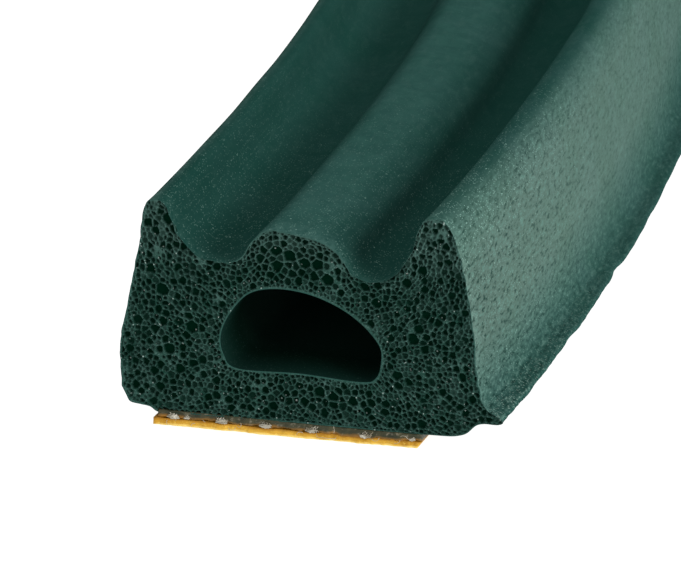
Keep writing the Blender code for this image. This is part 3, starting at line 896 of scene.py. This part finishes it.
def band(name, section, front, look, distances, angles, across, steps):
    """Thin band along the strip: section and front edge are functions of where they are.

    A place in its section is a share across and a share up. Its ring of points is carried
    along, and a grid of the same shares closes the front.
    """
    length = strip_length(distances, angles)
    share, high = flat_ring(across, steps)
    sections = section(length, share, high)
    points = carry(sections, route(distances, angles))
    points[:, :, 1] -= front(sections) * np.exp(-(length / FRONT_REACH) ** 2)[:, None]
    rows, columns = sections.shape[:2]
    inner_high, inner_share = np.meshgrid(np.linspace(0, 1, steps + 1)[1:-1],
                                          np.linspace(0, 1, across)[1:-1], indexing="ij")
    face = section(length[:1], inner_share.ravel(), inner_high.ravel())
    face_points = carry(face, route(np.array([distances[0]]), np.zeros(0)))
    face_points[:, :, 1] -= front(face) * np.exp(-(length[0] / FRONT_REACH) ** 2)
    start = rows * columns
    order = face_order(across, steps, start)
    face_quads = np.stack([order[:-1, :-1], order[:-1, 1:], order[1:, 1:], order[1:, :-1]],
                          axis=-1).reshape(-1, 4)
    quads = np.concatenate([grid_faces(rows, columns)[:, ::-1], face_quads])
    points = np.concatenate([points.reshape(-1, 3), face_points.reshape(-1, 3)])
    last = np.arange(columns)[::-1] + (rows - 1) * columns
    piece = make_piece(name, points, quads, look, [last])
    # Away from the cut the height share settles to a middle value, so the cut edge's painted shade
    # and glow stay at the cut
    near = np.exp(-(length / EDGE_REACH) ** 2)[:, None]
    level = NEUTRAL_HIGH + (high[None] - NEUTRAL_HIGH) * near
    set_attribute(piece, "high", np.concatenate([level.ravel(), inner_high.ravel()]))


def whole_band(name, section, front, look):
    """A band in two lengths: a finely cut one at the free end and a plain one beyond it."""
    near = BAND_FRONT * np.linspace(0, 1, NEAR_ROWS) ** 2
    band(name + "_end", section, front, look, near, np.zeros(0), NEAR_ACROSS, NEAR_STEPS)
    band(name, section, front, look, *long_route(BAND_FRONT), FAR_ACROSS, FAR_STEPS)


def flat_ring(count, steps):
    """Ring of shares across and up a thin band: along its bottom, up, back along its top, down."""
    x = np.linspace(0, 1, count)
    rise = np.arange(1, steps) / steps
    across = np.concatenate([x, np.ones(steps - 1), x[::-1], np.zeros(steps - 1)])
    high = np.concatenate([np.zeros(count), rise, np.ones(count), rise[::-1]])
    return across, high


def face_order(count, steps, start):
    """Point numbers of a band's front as rows from bottom to top: the ring's, and new inner ones."""
    order = np.empty((steps + 1, count), dtype=int)
    order[0] = np.arange(count)
    order[-1] = 2 * count + steps - 2 - np.arange(count)
    order[1:-1, -1] = count + np.arange(steps - 1)
    order[1:-1, 0] = 2 * count + 2 * steps - 3 - np.arange(steps - 1)
    order[1:-1, 1:-1] = start + np.arange((steps - 1) * (count - 2)).reshape(steps - 1, count - 2)
    return order


def flat_section(length, span, heights, share, high):
    """A band's plain section at each length: shares turned into places across and up."""
    x = span[0] + (span[1] - span[0]) * share
    z = heights[0] + (heights[1] - heights[0]) * high
    ring = np.stack([x, z], axis=1)
    return np.broadcast_to(ring, (len(length),) + ring.shape).copy()


def spread_noise(sections, length, scale, seed):
    """Noise over a band, by its place across and along the strip."""
    return noise(in_space(sections[..., 0], length[:, None]) / scale, seed)


def tape_section(length, share, high):
    """Tape: its edges wander a little, and its cut end is lumpy and drawn thin in places."""
    sections = flat_section(length, TAPE_SPAN, (TAPE_BOTTOM, TAPE_TOP), share, high)
    sections[..., 0] *= 1 + 0.006 * noise(in_space(length) / 0.7, 41)[:, None]
    front = np.exp(-length / 0.5)[:, None]
    lumps = spread_noise(sections, length, 0.16, 46) * 0.022
    sections[..., 1] += lumps * (1 - high) * front + curl(sections[..., 0], length[:, None])
    return sections


def curl(across, along):
    """Lift of tape and liner at the cut: most at the left edge, fading along the strip."""
    left = np.clip((CURL_START - across) / CURL_SPAN, 0, 1)
    return CURL_HEIGHT * left * np.exp(-along / CURL_REACH)


def liner_section(length, share, high):
    """Liner: a thin sheet with a slow wave in it, its right edge cut at a slant."""
    sections = flat_section(length, LINER_SPAN, (LINER_BOTTOM, LINER_TOP), share, high)
    front = np.exp(-length / CURL_REACH)[:, None]
    wave = spread_noise(sections, length, np.array([1.1, 2.5, 1.0]), 42) * 0.018
    grain = spread_noise(sections, length, 0.10, 47) * 0.006
    relief = (wave * (0.6 + 0.4 * high) + grain * high) * front
    sections[..., 1] += curl(sections[..., 0], length[:, None]) + relief
    sections[..., 1] = np.maximum(sections[..., 1], -BACKING + 0.004)
    slant = np.clip((sections[..., 0] - 2.5) / 0.4, 0, 1)
    sections[..., 0] += 0.10 * high * slant
    return sections


def liner_front(sections):
    """How far the liner's cut edge stands out: more at the left, and uneven."""
    x, z = sections[..., 0], sections[..., 1]
    rough = roughness(in_space(x, z * 0.5), LINER_NOISE)
    bevel = np.clip((z - LINER_BOTTOM) / (LINER_TOP - LINER_BOTTOM) - 0.35, 0, 1)
    return 0.10 - 0.012 * x + rough - 0.05 * bevel


def tape_front(sections):
    """The tape's cut edge is drawn in and out, more so low down where it sticks to the liner."""
    x, z = sections[..., 0], sections[..., 1]
    low = np.clip((TAPE_TOP - z) / (TAPE_TOP - TAPE_BOTTOM), 0, 1)
    return 0.01 + 0.05 * low + roughness(in_space(x, z), TAPE_NOISE)


def tubes(name, paths, radius, sides, look):
    """Round threads: a circle carried along each path, with its ends drawn to a point."""
    count, steps = paths.shape[:2]
    along = np.gradient(paths, axis=1)
    along /= np.linalg.norm(along, axis=2, keepdims=True)
    side = np.cross(along, np.array([0.0, 0.0, 1.0]))
    side /= np.maximum(np.linalg.norm(side, axis=2, keepdims=True), 1e-6)
    top = np.cross(side, along)
    angle = np.linspace(0, 2 * np.pi, sides, endpoint=False)
    taper = np.ones(steps)
    taper[0] = taper[-1] = 0.05
    size = radius[:, None] * taper[None]
    points = (paths[:, :, None] + size[..., None, None]
              * (np.cos(angle)[None, None, :, None] * side[:, :, None]
                 + np.sin(angle)[None, None, :, None] * top[:, :, None]))
    quads, ends = tube_faces(count, steps, sides)
    make_piece(name, points, quads, look, ends)


def tape_threads(look):
    """Bundles of fine white threads in the tape, each frayed into a tuft where it is cut off.

    A fibre runs straight in the tape, and past the cut it swings off sideways, up or down by
    a power of its way out. A few loose ones swing further.
    """
    rng = np.random.default_rng(5)
    size = np.repeat(np.array(THREAD_SIZES), FIBRES)
    count = len(size)
    across = np.repeat(np.array(THREAD_PLACES), FIBRES)
    across = across + rng.normal(0, FIBRE_SPREAD[0], count) * size
    up = TAPE_BOTTOM * 0.65 + rng.normal(0, FIBRE_SPREAD[1], count) * size
    t = np.linspace(0, 1, 12)[None] ** 1.6
    out = (rng.uniform(*FIBRE_CUTS, count) * size)[:, None]
    y = -out + (out + FIBRE_BACK) * t
    swing = np.clip(-y / FIBRE_CUTS[1], 0, 1) ** 1.5
    loose = np.where(rng.random(count) < LOOSE_CHANCE, LOOSE_SWING, 1.0)[:, None]
    x = across[:, None] + swing * loose * rng.normal(0, FIBRE_SWING[0], count)[:, None]
    z = up[:, None] + swing * loose * rng.normal(0, FIBRE_SWING[1], count)[:, None]
    z = np.clip(z + curl(x, np.abs(y)), LINER_BOTTOM + 0.08, 0.05)
    paths = np.stack([x, y, z], axis=2) + END
    tubes("tape_threads", paths, rng.uniform(*FIBRE_SIZES, count), FIBRE_SIDES, look)


def thread_knots(look):
    """Lump of melted and frayed thread at each cut thread: an ellipsoid pushed about by noise."""
    turn, fall = np.meshgrid(np.arange(KNOT_AROUND) / KNOT_AROUND * 2 * np.pi,
                             np.linspace(0.02, np.pi - 0.02, KNOT_DOWN), indexing="xy")
    ball = np.stack([np.cos(fall), np.sin(fall) * np.cos(turn), np.sin(fall) * np.sin(turn)], axis=-1)
    middles, sizes = np.array(THREAD_PLACES), np.array(THREAD_SIZES)
    heights = KNOT_HEIGHT + curl(middles, 0.0)
    centres = np.stack([middles, np.full_like(middles, KNOT_PLACE), heights], axis=1) + END
    offset = np.arange(len(middles))[:, None, None, None] * 9.0
    rough = noise(ball[None] * 2.2 + offset, 51) * 0.45 + noise(ball[None] * 6.0 + offset, 52) * 0.25
    size = np.array(KNOT_SIZE) * sizes[:, None]
    points = centres[:, None, None] + ball[None] * size[:, None, None] * (1 + rough)[..., None]
    quads, ends = tube_faces(len(middles), KNOT_DOWN, KNOT_AROUND)
    make_piece("thread_knots", points, quads, look, ends)


def stray_fibres(look):
    """Hair-thin curled fibres at the cut edge of tape and liner: arcs of uneven bend."""
    rng = np.random.default_rng(8)
    count = len(STRAY_FIBRES)
    start, height, reach, turn, phase = (np.array(STRAY_FIBRES)[:, index, None]
                                         for index in range(5))
    t = np.linspace(0, 1, 22)[None]
    x = start + reach * (np.cos(phase + turn * t) - np.cos(phase))
    z = height + reach * (np.sin(phase + turn * t) - np.sin(phase))
    y = -0.12 - 0.05 * np.sin(t * 2.4) + rng.uniform(-0.02, 0.02, (count, 1))
    z = np.maximum(z, 0.10 - BACKING)
    paths = np.stack([x, y, z], axis=2) + END
    tubes("stray_fibres", paths, np.full(count, STRAY_SIZE), STRAY_SIDES, look)


def stand(name, data, axes, place):
    """Put a camera or a light into the scene by its right, up and back axes and its place."""
    pose = np.eye(4)
    pose[:3, :3] = np.stack(axes, axis=1)
    pose[:3, 3] = place
    thing = bpy.data.objects.new(name, data)
    thing.matrix_world = Matrix(pose.tolist())
    bpy.context.scene.collection.objects.link(thing)
    return thing


def make_camera():
    """Camera at the photograph's viewing angle, its place worked out in the section's frame."""
    turn = np.array([CAMERA_RIGHT, CAMERA_UP, CAMERA_BACK])
    place = -turn.T @ np.array([CAMERA_SLIDE[0], CAMERA_SLIDE[1], -CAMERA_DISTANCE])
    data = bpy.data.cameras.new("camera")
    data.sensor_width = SENSOR_WIDTH
    data.lens = PIXELS_PER_MM * CAMERA_DISTANCE * SENSOR_WIDTH / IMAGE_WIDTH
    data.clip_start, data.clip_end = CLIP
    bpy.context.scene.camera = stand("camera", data, turn, (place + END) * MM)


def soft_light(name, place, facing, size, power):
    """Rectangular soft light at a place, shining along a direction."""
    data = bpy.data.lights.new(name, "AREA")
    data.shape = "RECTANGLE"
    data.size, data.size_y = size
    data.energy = power
    back = -np.array(facing, dtype=float)
    back /= np.linalg.norm(back)
    side = np.cross((0.0, 0.0, 1.0), back)
    side /= np.linalg.norm(side)
    stand(name, data, (side, np.cross(back, side), back), place)


def make_studio():
    """White floor, an even surround, a soft low light from the right and a lit panel below it."""
    corners = [(-FLOOR_HALF, -FLOOR_HALF, 0), (FLOOR_HALF, -FLOOR_HALF, 0),
               (FLOOR_HALF, FLOOR_HALF, 0), (-FLOOR_HALF, FLOOR_HALF, 0)]
    mesh = bpy.data.meshes.new("floor")
    mesh.from_pydata(corners, [], [(0, 1, 2, 3)])
    mesh.materials.append(floor_material())
    floor = bpy.data.objects.new("floor", mesh)
    bpy.context.scene.collection.objects.link(floor)
    world = bpy.data.worlds.new("surround")
    world.use_nodes = True
    background = world.node_tree.nodes["Background"]
    background.inputs["Color"].default_value = (1, 1, 1, 1)
    background.inputs["Strength"].default_value = SURROUND
    bpy.context.scene.world = world
    turn, rise = np.radians(LIGHT_TURN), np.radians(LIGHT_RISE)
    aim = np.array([np.cos(rise) * np.cos(turn), np.cos(rise) * np.sin(turn), np.sin(rise)])
    soft_light("right_light", END * MM + aim * LIGHT_AWAY, -aim, LIGHT_SIZE, LIGHT_POWER)
    panel = (END[0] * MM + PANEL_PLACE[0], END[1] * MM + PANEL_PLACE[1], PANEL_HEIGHT)
    soft_light("table_panel", panel, (0, 0.001, 1), PANEL_SIZE, PANEL_POWER)
    bpy.context.scene.view_settings.view_transform = "Standard"


def main():
    """Make camera, pieces and studio."""
    make_camera()
    foam, tape = ("foam_rubber", ["foam_profile"]), ("adhesive", ["adhesive_tape"])
    skin, sponge = (skin_material(), *foam), (sponge_material(), *foam)
    threads = (thread_material(), *tape)
    strip_end("strip_end", skin, fine_distances(), SKIN_AROUND, CHAMBER_AROUND, free=True)
    cut_face("cut_face", sponge, FACE_AROUND, FACE_RINGS, seed=3, free=True)
    strip_body(skin)
    behind = np.concatenate([[0.0, FIRST_STEP], np.linspace(0.3, INNER_LENGTH, INNER_ROWS)])
    strip_end("inner_strip_end", skin, behind, INNER_AROUND, INNER_CHAMBER_AROUND, free=False)
    cut_face("inner_cut_face", sponge, INNER_FACE_AROUND, INNER_FACE_RINGS, seed=4, free=False)
    whole_band("adhesive_film", tape_section, tape_front, (tape_material(), *tape))
    whole_band("liner_sheet", liner_section, liner_front,
               (liner_material(), "liner_paper", ["release_liner"]))
    for make in (tape_threads, thread_knots, stray_fibres):
        make(threads)
    make_studio()


main()
